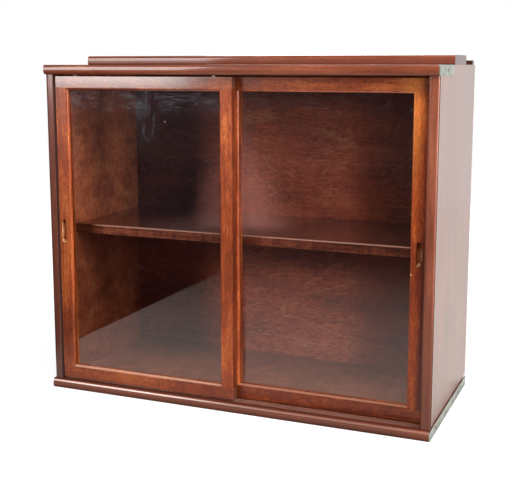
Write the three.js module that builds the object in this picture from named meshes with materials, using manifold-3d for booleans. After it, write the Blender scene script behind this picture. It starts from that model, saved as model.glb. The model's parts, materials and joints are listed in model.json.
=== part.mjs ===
// Bookcase section with two framed glass sliding doors, one loose shelf and a stacking rail.
// Millimetres: +X to the viewer's right, +Y to the back, +Z up. The case is drawn with the front of
// its side lippings at Y = 0, and the last group moves the origin to the middle of its base.
import * as THREE from "three";
import { mergeVertices } from "three/addons/utils/BufferGeometryUtils.js";
import Module from "manifold-3d";

const wasm = await Module();
wasm.setup();

// Case
const caseWidth = 900;
const caseHeight = 757;
const caseDepth = 381;
const boardThickness = 21.5;
const lippingDepth = 8;
const lippingRound = 6.5;
const lippingProud = 1.2;
const quirkSize = 1.3;
const backThickness = 6;
const backInset = 5;
const backLap = 9;

// Front mouldings on the top and bottom boards: how far each edge and the nose stand out
const topNoseReach = 9.5;
const topUpperLip = 3.5;
const topUnderLip = 0;
const topNoseShare = 0.48;
const bottomNoseReach = 9;
const bottomUpperLip = 2;
const bottomUnderLip = 5;
const bottomNoseShare = 0.42;

// Side panels: the slot over each bottom strip
const slotHeight = 5;
const slotDepth = 6;
const slotFront = 27;

// Raised pieces on the top board, which the section above drops over
const stackingRailHeight = 20.5;
const stackingRailFront = 157;
const stackingRailWidth = 123;
const stackingRailLeftInset = 12.5;
const stackingRailRightInset = 1.7;
const stackingRailUpperRound = 8;
const stackingRailLowerRound = 4;
const locatingStripHeight = 10;
const locatingStripWidth = 18;
const locatingStripEndInset = 1;
const locatingStripRearInset = 10;
const locatingStripRound = 1.5;

// Shelf and its pins
const shelfTop = 383.5;
const shelfFront = 70;
const shelfThickness = 21.5;
const shelfLippingDepth = 8;
const shelfLippingRound = 2;
const shelfPlay = 0.6;
const shelfPinInset = 50;
const shelfPinDiameter = 5;
const shelfPinSunkLength = 10;
const shelfPinTabLength = 12;
const shelfPinTabWidth = 10;
const shelfPinTabThickness = 2;

// Sliding doors
const doorThickness = 20;
const doorSetback = 4.5;
const doorSpacing = 3;
const doorOverlap = 21;
const doorEndGap = 0.5;
const doorTopGap = 4;
const doorBottomGap = 3.5;
const rightDoorAjar = 4;
const frameWidth = 30.5;
const stickingRound = 5.5;
const tenonThickness = 7;
const tenonLength = 16;
const tenonShoulder = 3;
const glassThickness = 4;
const glassSetback = 9;
const glassLap = 9;
const beadRound = 2;
const pullWidth = 10.5;
const pullHeight = 51;
const pullDepth = 10;
const pullFromEdge = 12;

// Door running gear
const runnerWidth = 8;
const runnerSunk = 4;
const runnerProud = 2;
const runnerRound = 1.8;
const gearFromEdge = 47;
const glideLength = 26;
const glideWidth = 13;
const glideSunk = 9;
const glideReach = 2.6;
const guidePinDiameter = 6.6;
const guidePinEngagement = 8;
const guideGrooveSpare = 2;
const guideFlangeDiameter = 9;
const guideFlangeThickness = 1.2;
const guideStemDiameter = 7.4;
const guideStemLength = 10;

// Coupling metal on both ends of the case
const metalThickness = 1.5;
const topPlateReach = 4;
const topPlateUpperLip = 1;
const topPlateUnderLip = 0;
const topPlateLength = 130;
const topPlateScrewPlace = 73;
const stripNotchPlace = 22;
const stripNotchWidth = 4;
const stripNotchDepth = 3;
const stripScrewFront = 51;
const stripScrewFromRear = 58;
const screwLength = 18;
const screwShankDiameter = 4;
const screwHeadDiameter = 8;
const screwHeadDepth = 2.6;
const screwSlotWidth = 1.2;
const screwSlotDepth = 1.1;

// Clearances, overrun of cuts and fineness of curves
const looseFit = 0.3;
const runningFit = 0.4;
const overrun = 5;
const curveSteps = 6;
const roundSteps = 20;

// Places worked out from the sizes above
const halfCase = caseWidth / 2;
const halfInside = halfCase - boardThickness;
const insideWidth = halfInside * 2;
const ceiling = caseHeight - boardThickness;
const insideHeight = ceiling - boardThickness;
const backRear = caseDepth - backInset;
const backFront = backRear - backThickness;
const doorWidth = (insideWidth + doorOverlap) / 2;
const doorHeight = insideHeight - doorTopGap - doorBottomGap;
const frontDoorFace = doorSetback;
const rearDoorFace = doorSetback + doorThickness + doorSpacing;
const shelfUnderside = shelfTop - shelfThickness;
const shelfRear = backFront - shelfPlay;
const guideGrooveWidth = guidePinDiameter + 2 * runningFit;
const guideGrooveDepth = guidePinEngagement + guideGrooveSpare;
const screwHeightInBoard = boardThickness / 2;

const finishes = {
  frameWood: { color: 0xa5522c, roughness: 0.35, metalness: 0 },
  mouldingWood: { color: 0x7d3a22, roughness: 0.3, metalness: 0 },
  caseWood: { color: 0x6e3423, roughness: 0.45, metalness: 0 },
  insideWood: { color: 0x5c2a1c, roughness: 0.5, metalness: 0 },
  backPly: { color: 0x54281c, roughness: 0.5, metalness: 0 },
  glass: { color: 0xdfe8e4, roughness: 0.05, metalness: 0, transparent: true, opacity: 0.3 },
  zinc: { color: 0xb4bab2, roughness: 0.45, metalness: 0.9 },
  steel: { color: 0x8d8d88, roughness: 0.4, metalness: 0.9 },
  whiteNylon: { color: 0xe4e0d6, roughness: 0.5, metalness: 0 },
  brownNylon: { color: 0x2e1c16, roughness: 0.4, metalness: 0 },
};

// A closed three.js geometry as a solid that can be cut and joined
function solidOf(geometry) {
  const loose = geometry.index ? geometry.toNonIndexed() : geometry.clone();
  loose.deleteAttribute("normal");
  loose.deleteAttribute("uv");
  const merged = mergeVertices(loose);
  const corners = Array.from(merged.index.array);
  const triVerts = [];
  for (let i = 0; i < corners.length; i += 3) {
    const [a, b, c] = corners.slice(i, i + 3);
    if (a !== b && b !== c && c !== a) triVerts.push(a, b, c);
  }
  const vertProperties = merged.getAttribute("position").array;
  return new wasm.Manifold(
    new wasm.Mesh({ numProp: 3, vertProperties, triVerts: new Uint32Array(triVerts) }),
  );
}

function geometryOf(solid) {
  const mesh = solid.getMesh();
  const geometry = new THREE.BufferGeometry();
  geometry.setAttribute("position", new THREE.BufferAttribute(new Float32Array(mesh.vertProperties), 3));
  geometry.setIndex(new THREE.BufferAttribute(new Uint32Array(mesh.triVerts), 1));
  geometry.computeVertexNormals();
  return geometry;
}

function piece(name, solid, finish) {
  const mesh = new THREE.Mesh(geometryOf(solid), new THREE.MeshStandardMaterial(finishes[finish]));
  mesh.name = name;
  return mesh;
}

function placed(mesh, x, y, z) {
  mesh.position.set(x, y, z);
  return mesh;
}

// The point that lies a distance away from a corner, on the line to another corner
function towards(corner, other, distance) {
  const run = Math.hypot(other[0] - corner[0], other[1] - corner[1]);
  return [0, 1].map((i) => corner[i] + ((other[i] - corner[i]) / run) * distance);
}

// A closed outline through corners [u, v] or [u, v, radius], with each radius as a curve
function outline(corners) {
  const shape = new THREE.Shape();
  corners.forEach((corner, i) => {
    const [u, v, radius = 0] = corner;
    const start = towards(corner, corners.at(i - 1), radius);
    const end = towards(corner, corners[(i + 1) % corners.length], radius);
    if (i === 0) shape.moveTo(...start);
    else shape.lineTo(...start);
    if (radius > 0) shape.quadraticCurveTo(u, v, ...end);
  });
  return shape;
}

// A prism of an outline along x, y or z. The outline's two coordinates are the other two axes in
// X, Y, Z order, and every corner keeps its exact place, so that neighbours can share a face.
function prism(along, shape, from, to) {
  const options = { depth: 1, bevelEnabled: false, curveSegments: curveSteps };
  const geometry = new THREE.ExtrudeGeometry(shape, options);
  const [low, high] = [Math.min(from, to), Math.max(from, to)];
  const position = geometry.getAttribute("position");
  for (let i = 0; i < position.count; i++) {
    const [u, v, far] = [position.getX(i), position.getY(i), position.getZ(i) > 0];
    if (along === "x") position.setXYZ(i, far ? high : low, u, v);
    if (along === "y") position.setXYZ(i, u, far ? low : high, v);
    if (along === "z") position.setXYZ(i, u, v, far ? high : low);
  }
  return solidOf(geometry);
}

function block([x0, x1], [y0, y1], [z0, z1]) {
  return prism("z", outline([[x0, y0], [x1, y0], [x1, y1], [x0, y1]]), z0, z1);
}

// A turned solid about X, from a profile of [radius, distance towards the given direction]
function turnedAlongX(profile, direction) {
  const points = profile.map(([radius, distance]) => new THREE.Vector2(radius, distance));
  const geometry = new THREE.LatheGeometry(points, roundSteps);
  return solidOf(geometry.rotateZ((-direction * Math.PI) / 2));
}

function turnedAlongZ(profile) {
  const points = profile.map(([radius, distance]) => new THREE.Vector2(radius, distance));
  return solidOf(new THREE.LatheGeometry(points, roundSteps).rotateX(Math.PI / 2));
}

// A section in Y and Z with a rounded nose to the front, on a board's height
function noseOutline({ base, rear, reach, upperLip, underLip, noseShare }) {
  const top = base + boardThickness;
  const nose = base + boardThickness * noseShare;
  const shape = new THREE.Shape();
  shape.moveTo(rear, base);
  shape.lineTo(-underLip, base);
  shape.quadraticCurveTo(-reach, base, -reach, nose);
  shape.quadraticCurveTo(-reach, top, -upperLip, top);
  shape.lineTo(rear, top);
  return shape;
}

// Countersunk screw, its head's face at 0 and its point inwards; a cutter has a looser fit
function screwSolid(direction, fit) {
  const shank = screwShankDiameter / 2 + fit;
  const head = screwHeadDiameter / 2 + fit;
  const mouth = fit > 0 ? overrun : 0;
  const profile = [[0, -screwLength - fit], [shank, -screwLength - fit], [shank, -screwHeadDepth - fit]];
  profile.push([head, -fit]);
  if (mouth > 0) profile.push([head, mouth]);
  profile.push([0, mouth]);
  return turnedAlongX(profile, direction);
}

// Where each screw of a case end sits, as [name, Y, Z]
function screwPlaces() {
  const topScrewHeight = ceiling + screwHeightInBoard;
  return [
    ["top_plate_screw", topPlateScrewPlace, topScrewHeight],
    ["strip_front_screw", stripScrewFront, screwHeightInBoard],
    ["strip_rear_screw", caseDepth - stripScrewFromRear, screwHeightInBoard],
  ];
}

function withoutScrews(solid, direction) {
  const face = direction * (halfCase + metalThickness);
  for (const [, y, z] of screwPlaces()) {
    solid = solid.subtract(screwSolid(direction, looseFit).translate([face, y, z]));
  }
  return solid;
}

function bottomBoard() {
  let board = block([-halfCase, halfCase], [lippingDepth, caseDepth], [0, boardThickness]);
  const lap = halfInside + backLap;
  const rebate = [boardThickness - backLap, boardThickness + overrun];
  board = board.subtract(block([-lap, lap], [backFront, caseDepth + overrun], rebate));
  for (const face of [frontDoorFace, rearDoorFace]) board = board.subtract(runnerGroove(face));
  return piece("bottom_board", withoutScrews(withoutScrews(board, 1), -1), "insideWood");
}

function topBoard() {
  let board = block([-halfInside, halfInside], [lippingDepth, caseDepth], [ceiling, caseHeight]);
  const span = halfInside + overrun;
  const rebate = [ceiling - overrun, ceiling + backLap];
  board = board.subtract(block([-span, span], [backFront, caseDepth + overrun], rebate));
  for (const face of [frontDoorFace, rearDoorFace]) {
    const middle = face + doorThickness / 2;
    const groove = [middle - guideGrooveWidth / 2, middle + guideGrooveWidth / 2];
    board = board.subtract(block([-span, span], groove, [ceiling - overrun, ceiling + guideGrooveDepth]));
  }
  return piece("top_board", board, "insideWood");
}

// A side panel with its rebate for the ply back, its slot over the bottom strip and two pin bores
function sidePanel(side, direction) {
  const inner = direction * halfInside;
  const outer = direction * halfCase;
  const section = outline([
    [inner, lippingDepth],
    [outer, lippingDepth],
    [outer, caseDepth],
    [inner, caseDepth],
  ]);
  let panel = prism("z", section, boardThickness, caseHeight);
  const quirk = outline([
    [outer + direction * quirkSize, lippingDepth - quirkSize],
    [outer + direction * quirkSize, lippingDepth + 2 * quirkSize],
    [outer - direction * quirkSize, lippingDepth],
    [outer - direction * quirkSize, lippingDepth - quirkSize],
  ]);
  panel = panel.subtract(prism("z", quirk, boardThickness - overrun, ceiling));
  const lap = [inner - direction * overrun, inner + direction * backLap];
  const rebateHeight = [boardThickness - overrun, ceiling + backLap];
  panel = panel.subtract(block(lap, [backFront, caseDepth + overrun], rebateHeight));
  const slot = [outer - direction * slotDepth, outer + direction * overrun];
  const slotSpan = [slotFront, caseDepth + overrun];
  panel = panel.subtract(block(slot, slotSpan, [boardThickness - overrun, boardThickness + slotHeight]));
  for (const place of shelfPinPlaces()) {
    const bore = shelfPinBore(direction).translate([inner, place, shelfPinHeight()]);
    panel = panel.subtract(bore);
  }
  return piece(`${side}_side_panel`, withoutScrews(panel, direction), "caseWood");
}

function backPanel() {
  const half = halfInside + backLap - looseFit;
  const height = [boardThickness - backLap + looseFit, ceiling + backLap - looseFit];
  return piece("back_panel", block([-half, half], [backFront, backRear], height), "backPly");
}

function topMoulding() {
  const section = noseOutline({
    base: ceiling,
    rear: lippingDepth,
    reach: topNoseReach,
    upperLip: topUpperLip,
    underLip: topUnderLip,
    noseShare: topNoseShare,
  });
  return piece("top_front_moulding", prism("x", section, -halfCase, halfCase), "mouldingWood");
}

function bottomMoulding() {
  const section = noseOutline({
    base: 0,
    rear: lippingDepth,
    reach: bottomNoseReach,
    upperLip: bottomUpperLip,
    underLip: bottomUnderLip,
    noseShare: bottomNoseShare,
  });
  return piece("bottom_front_moulding", prism("x", section, -halfCase, halfCase), "mouldingWood");
}

// A vertical lipping, rounded on both front edges and a little proud of the panel, with its half of
// the quirk at the outer rear edge
function sideLipping(side, direction) {
  const round = Math.min(lippingRound, lippingDepth - quirkSize, boardThickness / 2);
  const inner = direction * halfInside;
  const outer = direction * (halfCase + lippingProud);
  const section = outline([
    [inner, lippingDepth],
    [inner, 0, round],
    [outer, 0, round],
    [outer, lippingDepth - quirkSize],
    [direction * (halfCase - quirkSize), lippingDepth],
  ]);
  return piece(`${side}_front_lipping`, prism("z", section, boardThickness, ceiling), "mouldingWood");
}

function stackingRail() {
  const [front, rear] = [stackingRailFront, stackingRailFront + stackingRailWidth];
  const section = outline([
    [front, caseHeight, stackingRailLowerRound],
    [front, caseHeight + stackingRailHeight, stackingRailUpperRound],
    [rear, caseHeight + stackingRailHeight, stackingRailUpperRound],
    [rear, caseHeight, stackingRailLowerRound],
  ]);
  const solid = prism("x", section, stackingRailLeftInset - halfCase, halfCase - stackingRailRightInset);
  return piece("stacking_rail", solid, "mouldingWood");
}

function locatingStrip() {
  const rear = caseDepth - locatingStripRearInset;
  const front = rear - locatingStripWidth;
  const section = outline([
    [front, caseHeight],
    [front, caseHeight + locatingStripHeight, locatingStripRound],
    [rear, caseHeight + locatingStripHeight, locatingStripRound],
    [rear, caseHeight],
  ]);
  const half = halfCase - locatingStripEndInset;
  return piece("rear_locating_strip", prism("x", section, -half, half), "insideWood");
}

function shelfPieces() {
  const half = halfInside - shelfPlay;
  const joint = shelfFront + shelfLippingDepth;
  const board = block([-half, half], [joint, shelfRear], [shelfUnderside, shelfTop]);
  const section = outline([
    [joint, shelfUnderside],
    [shelfFront, shelfUnderside, shelfLippingRound],
    [shelfFront, shelfTop, shelfLippingRound],
    [joint, shelfTop],
  ]);
  return [
    piece("shelf_board", board, "insideWood"),
    piece("shelf_front_lipping", prism("x", section, -half, half), "mouldingWood"),
  ];
}

function shelfPinPlaces() {
  return [shelfFront + shelfPinInset, shelfRear - shelfPinInset];
}

function shelfPinHeight() {
  return shelfUnderside - shelfPinDiameter / 2;
}

function shelfPinBore(direction) {
  const radius = shelfPinDiameter / 2 + looseFit;
  const depth = shelfPinSunkLength + looseFit;
  return turnedAlongX([[0, -overrun], [radius, -overrun], [radius, depth], [0, depth]], direction);
}

// A pin with a flat tab, on which the shelf lies
function shelfPin(name, direction) {
  const radius = shelfPinDiameter / 2;
  const profile = [[0, -shelfPinTabLength], [radius, -shelfPinTabLength]];
  profile.push([radius, shelfPinSunkLength], [0, shelfPinSunkLength]);
  const tabRun = [-direction * shelfPinTabLength, -direction * looseFit];
  const tabHeight = [radius - shelfPinTabThickness, radius];
  const tab = block(tabRun, [-shelfPinTabWidth / 2, shelfPinTabWidth / 2], tabHeight);
  return piece(name, turnedAlongX(profile, direction).add(tab), "steel");
}

function shelfPins() {
  const pins = [];
  for (const [side, direction] of [["left", -1], ["right", 1]]) {
    shelfPinPlaces().forEach((place, i) => {
      const name = `shelf_pin_${["front", "rear"][i]}_${side}`;
      pins.push(placed(shelfPin(name, direction), direction * halfInside, place, shelfPinHeight()));
    });
  }
  return pins;
}

function runnerSpan(doorFace) {
  const middle = doorFace + doorThickness / 2;
  return [middle - runnerWidth / 2, middle + runnerWidth / 2];
}

function runnerGroove(doorFace) {
  const height = [boardThickness - runnerSunk, boardThickness + overrun];
  return block([-halfInside, halfInside], runnerSpan(doorFace), height);
}

function runner(name, doorFace) {
  const [front, rear] = runnerSpan(doorFace);
  const top = boardThickness + runnerProud;
  const section = outline([
    [front, boardThickness - runnerSunk],
    [front, top, runnerRound],
    [rear, top, runnerRound],
    [rear, boardThickness - runnerSunk],
  ]);
  return piece(name, prism("x", section, -halfInside, halfInside), "brownNylon");
}

function topPlate(side, direction) {
  const section = noseOutline({
    base: ceiling,
    rear: topPlateLength,
    reach: topPlateReach,
    upperLip: topPlateUpperLip,
    underLip: topPlateUnderLip,
    noseShare: topNoseShare,
  });
  const [inner, outer] = [direction * halfCase, direction * (halfCase + metalThickness)];
  const plate = withoutScrews(prism("x", section, inner, outer), direction);
  return piece(`${side}_top_plate`, plate, "zinc");
}

function bottomStrip(side, direction) {
  const section = noseOutline({
    base: 0,
    rear: caseDepth,
    reach: bottomNoseReach,
    upperLip: bottomUpperLip,
    underLip: bottomUnderLip,
    noseShare: bottomNoseShare,
  });
  const [inner, outer] = [direction * halfCase, direction * (halfCase + metalThickness)];
  const across = [inner - direction * overrun, outer + direction * overrun];
  const along = [stripNotchPlace, stripNotchPlace + stripNotchWidth];
  const notch = block(across, along, [boardThickness - stripNotchDepth, boardThickness + overrun]);
  const strip = withoutScrews(prism("x", section, inner, outer).subtract(notch), direction);
  return piece(`${side}_bottom_strip`, strip, "zinc");
}

function couplingScrew(name, direction) {
  const half = screwHeadDiameter / 2 + overrun;
  const run = [-direction * screwSlotDepth, direction * overrun];
  const slot = block(run, [-half, half], [-screwSlotWidth / 2, screwSlotWidth / 2]);
  return piece(name, screwSolid(direction, 0).subtract(slot), "steel");
}

function couplingMetal() {
  const pieces = [];
  for (const [side, direction] of [["left", -1], ["right", 1]]) {
    pieces.push(topPlate(side, direction), bottomStrip(side, direction));
    for (const [name, y, z] of screwPlaces()) {
      const screw = couplingScrew(`${side}_${name}`, direction);
      pieces.push(placed(screw, direction * (halfCase + metalThickness), y, z));
    }
  }
  return pieces;
}

// The space behind the frame's front tongue that takes the glass and its beads
function glassPocket(direction, fit) {
  const margin = frameWidth - glassLap + fit;
  return {
    x: [direction * margin, direction * (doorWidth - margin)],
    z: [margin, doorHeight - margin],
  };
}

// A stile, from its distance u to the edge it forms; its moulded inner edge is mitred at both ends
function stile(direction, edgeAt) {
  const flat = frameWidth - stickingRound;
  const section = outline([
    [edgeAt(0), 0],
    [edgeAt(frameWidth), 0, stickingRound],
    [edgeAt(frameWidth), doorThickness],
    [edgeAt(0), doorThickness],
  ]);
  const face = outline([
    [edgeAt(0), flat],
    [edgeAt(flat), flat],
    [edgeAt(frameWidth), frameWidth],
    [edgeAt(frameWidth), doorHeight - frameWidth],
    [edgeAt(flat), doorHeight - flat],
    [edgeAt(0), doorHeight - flat],
  ]);
  const pocket = glassPocket(direction, 0);
  const solid = prism("z", section, 0, doorHeight)
    .intersect(prism("y", face, -overrun, doorThickness + overrun))
    .subtract(block(pocket.x, [glassSetback, doorThickness + overrun], pocket.z));
  return tenonEnds(edgeAt, 0).reduce((joined, tenon) => joined.add(tenon), solid);
}

// The two tenons of a stile, or with a fit the mortises that take them
function tenonEnds(edgeAt, fit) {
  const flat = frameWidth - stickingRound;
  const across = [
    edgeAt(tenonShoulder - fit),
    edgeAt(frameWidth - glassLap - tenonShoulder / 2 + fit),
  ];
  const middle = doorThickness / 2;
  const through = [middle - tenonThickness / 2 - fit, middle + tenonThickness / 2 + fit];
  return [
    block(across, through, [flat - tenonLength - fit, flat + tenonShoulder]),
    block(across, through, [doorHeight - flat - tenonShoulder, doorHeight - flat + tenonLength + fit]),
  ];
}

// A rail over the full door width, from its height u above or below the edge it forms
function rail(direction, edgeAt) {
  const flat = frameWidth - stickingRound;
  const section = outline([
    [0, edgeAt(0)],
    [0, edgeAt(frameWidth), stickingRound],
    [doorThickness, edgeAt(frameWidth)],
    [doorThickness, edgeAt(0)],
  ]);
  const face = outline([
    [0, edgeAt(0)],
    [0, edgeAt(flat)],
    [direction * flat, edgeAt(flat)],
    [direction * frameWidth, edgeAt(frameWidth)],
    [direction * (doorWidth - frameWidth), edgeAt(frameWidth)],
    [direction * (doorWidth - flat), edgeAt(flat)],
    [direction * doorWidth, edgeAt(flat)],
    [direction * doorWidth, edgeAt(0)],
  ]);
  const pocket = glassPocket(direction, 0);
  let solid = prism("x", section, 0, direction * doorWidth)
    .intersect(prism("y", face, -overrun, doorThickness + overrun))
    .subtract(block(pocket.x, [glassSetback, doorThickness + overrun], pocket.z));
  for (const stileEdge of stileEdges(direction)) {
    for (const mortise of tenonEnds(stileEdge, looseFit)) solid = solid.subtract(mortise);
  }
  return solid;
}

// X of a point in the outer and in the meeting stile, from its distance to that stile's edge
function stileEdges(direction) {
  return [(u) => direction * u, (u) => direction * (doorWidth - u)];
}

function gearPlaces(direction) {
  return [direction * gearFromEdge, direction * (doorWidth - gearFromEdge)];
}

function topRail(direction) {
  let solid = rail(direction, (u) => doorHeight - u);
  const radius = guideStemDiameter / 2 + looseFit;
  const depth = guideStemLength + looseFit;
  const bore = turnedAlongZ([[0, -depth], [radius, -depth], [radius, overrun], [0, overrun]]);
  for (const x of gearPlaces(direction)) {
    solid = solid.subtract(bore.translate([x, doorThickness / 2, doorHeight]));
  }
  return solid;
}

function bottomRail(direction) {
  let solid = rail(direction, (u) => u);
  const [length, width] = [glideLength / 2 + looseFit, glideWidth / 2 + looseFit];
  const housing = block([-length, length], [-width, width], [-overrun, glideSunk + looseFit]);
  for (const x of gearPlaces(direction)) {
    solid = solid.subtract(housing.translate([x, doorThickness / 2, 0]));
  }
  return solid;
}

// The outer stile with its routed finger pull, a slot with round ends
function outerStile(direction) {
  const [outerEdge] = stileEdges(direction);
  const radius = pullWidth / 2;
  const middle = doorHeight / 2;
  const reach = pullHeight / 2 - radius;
  const slot = new THREE.Shape();
  slot.absarc(outerEdge(pullFromEdge), middle + reach, radius, 0, Math.PI);
  slot.absarc(outerEdge(pullFromEdge), middle - reach, radius, Math.PI, 2 * Math.PI);
  return stile(direction, outerEdge).subtract(prism("y", slot, -overrun, pullDepth));
}

function glassPane(direction) {
  const pocket = glassPocket(direction, looseFit);
  return block(pocket.x, [glassSetback, glassSetback + glassThickness], pocket.z);
}

// The four beads behind the glass, the upright ones between the level ones
function beads(direction) {
  const back = glassSetback + glassThickness;
  const pocket = glassPocket(direction, looseFit);
  const level = (outerEdge, innerEdge) => {
    const section = outline([
      [back, outerEdge],
      [doorThickness, outerEdge],
      [doorThickness, innerEdge, beadRound],
      [back, innerEdge],
    ]);
    return prism("x", section, ...pocket.x);
  };
  const upright = (outerEdge, innerEdge) => {
    const section = outline([
      [outerEdge, back],
      [outerEdge, doorThickness],
      [innerEdge, doorThickness, beadRound],
      [innerEdge, back],
    ]);
    return prism("z", section, frameWidth, doorHeight - frameWidth);
  };
  const [outerEdge, meetingEdge] = stileEdges(direction);
  return {
    bottom_bead: level(pocket.z[0], frameWidth),
    top_bead: level(pocket.z[1], doorHeight - frameWidth),
    outer_bead: upright(pocket.x[0], outerEdge(frameWidth)),
    meeting_bead: upright(pocket.x[1], meetingEdge(frameWidth)),
  };
}

// Nylon guide in the door's top edge: stem, flange and the pin that runs in the ceiling's groove
function topGuide() {
  const [stem, flange, pin] = [guideStemDiameter / 2, guideFlangeDiameter / 2, guidePinDiameter / 2];
  const profile = [[0, -guideStemLength], [stem, -guideStemLength], [stem, 0], [flange, 0]];
  profile.push([flange, guideFlangeThickness], [pin, guideFlangeThickness]);
  profile.push([pin, doorTopGap + guidePinEngagement], [0, doorTopGap + guidePinEngagement]);
  return turnedAlongZ(profile);
}

// Nylon glide in the door's bottom edge, with the channel that straddles the runner
function bottomGlide() {
  const [length, width] = [glideLength / 2, glideWidth / 2];
  const body = block([-length, length], [-width, width], [-glideReach, glideSunk]);
  const channel = runnerWidth / 2 + runningFit;
  const roof = runnerProud - doorBottomGap + looseFit;
  const run = length + overrun;
  return body.subtract(block([-run, run], [-channel, channel], [-glideReach - overrun, roof]));
}

// One door, drawn from its outer bottom corner on its front face, and mirrored by its direction
function door(name, direction) {
  const group = new THREE.Group();
  const [, meetingEdge] = stileEdges(direction);
  const add = (part, solid, finish) => group.add(piece(`${name}_${part}`, solid, finish));
  add("top_rail", topRail(direction), "frameWood");
  add("bottom_rail", bottomRail(direction), "frameWood");
  add("outer_stile", outerStile(direction), "frameWood");
  add("meeting_stile", stile(direction, meetingEdge), "frameWood");
  add("glass", glassPane(direction), "glass");
  for (const [part, solid] of Object.entries(beads(direction))) add(part, solid, "frameWood");
  gearPlaces(direction).forEach((x, i) => {
    const place = ["outer", "meeting"][i];
    const guide = piece(`${name}_${place}_top_guide`, topGuide(), "whiteNylon");
    const glide = piece(`${name}_${place}_bottom_glide`, bottomGlide(), "brownNylon");
    group.add(placed(guide, x, doorThickness / 2, doorHeight));
    group.add(placed(glide, x, doorThickness / 2, 0));
  });
  return group;
}

function carcass() {
  const group = new THREE.Group();
  group.add(bottomBoard(), topBoard(), backPanel(), topMoulding(), bottomMoulding());
  for (const [side, direction] of [["left", -1], ["right", 1]]) {
    group.add(sidePanel(side, direction), sideLipping(side, direction));
  }
  group.add(stackingRail(), locatingStrip());
  group.add(runner("front_bottom_runner", frontDoorFace), runner("rear_bottom_runner", rearDoorFace));
  group.add(...shelfPieces(), ...shelfPins(), ...couplingMetal());
  return group;
}

const bookcase = new THREE.Group();
const doorBottom = boardThickness + doorBottomGap;
const leftDoor = placed(door("left_door", 1), -halfInside + doorEndGap, frontDoorFace, doorBottom);
const rightDoorEdge = halfInside - doorEndGap - rightDoorAjar;
const rightDoor = placed(door("right_door", -1), rightDoorEdge, rearDoorFace, doorBottom);
bookcase.add(carcass(), leftDoor, rightDoor);
bookcase.position.y = -(caseDepth - Math.max(topNoseReach, bottomNoseReach)) / 2;

export default bookcase;
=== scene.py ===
import json
import math

import bmesh
import bpy
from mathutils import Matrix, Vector


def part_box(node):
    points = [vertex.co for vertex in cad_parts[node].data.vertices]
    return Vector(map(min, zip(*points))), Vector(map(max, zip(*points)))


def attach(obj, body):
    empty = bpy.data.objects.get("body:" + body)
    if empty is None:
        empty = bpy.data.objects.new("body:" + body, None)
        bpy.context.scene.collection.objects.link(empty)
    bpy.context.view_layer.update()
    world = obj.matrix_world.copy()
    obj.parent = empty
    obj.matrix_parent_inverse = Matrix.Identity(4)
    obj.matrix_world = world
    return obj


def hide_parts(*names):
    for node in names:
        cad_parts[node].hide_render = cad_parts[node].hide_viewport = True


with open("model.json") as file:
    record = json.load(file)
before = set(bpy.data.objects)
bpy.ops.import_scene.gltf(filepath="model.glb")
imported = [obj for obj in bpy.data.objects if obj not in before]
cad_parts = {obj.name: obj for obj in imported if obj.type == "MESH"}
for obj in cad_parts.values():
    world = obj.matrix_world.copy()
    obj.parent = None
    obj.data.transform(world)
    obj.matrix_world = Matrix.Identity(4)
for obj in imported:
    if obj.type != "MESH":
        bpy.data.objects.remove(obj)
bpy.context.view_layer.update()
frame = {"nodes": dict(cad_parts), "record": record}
nodes = frame["nodes"]
scene = bpy.context.scene
scene.view_settings.view_transform = "Standard"

sideLow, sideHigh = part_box("right_side_panel")
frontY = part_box("left_front_lipping")[0].y  # front of the side lippings


def paint(red, green, blue):
    # a colour written as on screen, 0 to 255, turned to the linear values that Blender wants
    def linear(v):
        v /= 255
        return v / 12.92 if v <= .04045 else ((v + .055) / 1.055) ** 2.4
    return linear(red), linear(green), linear(blue), 1


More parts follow.
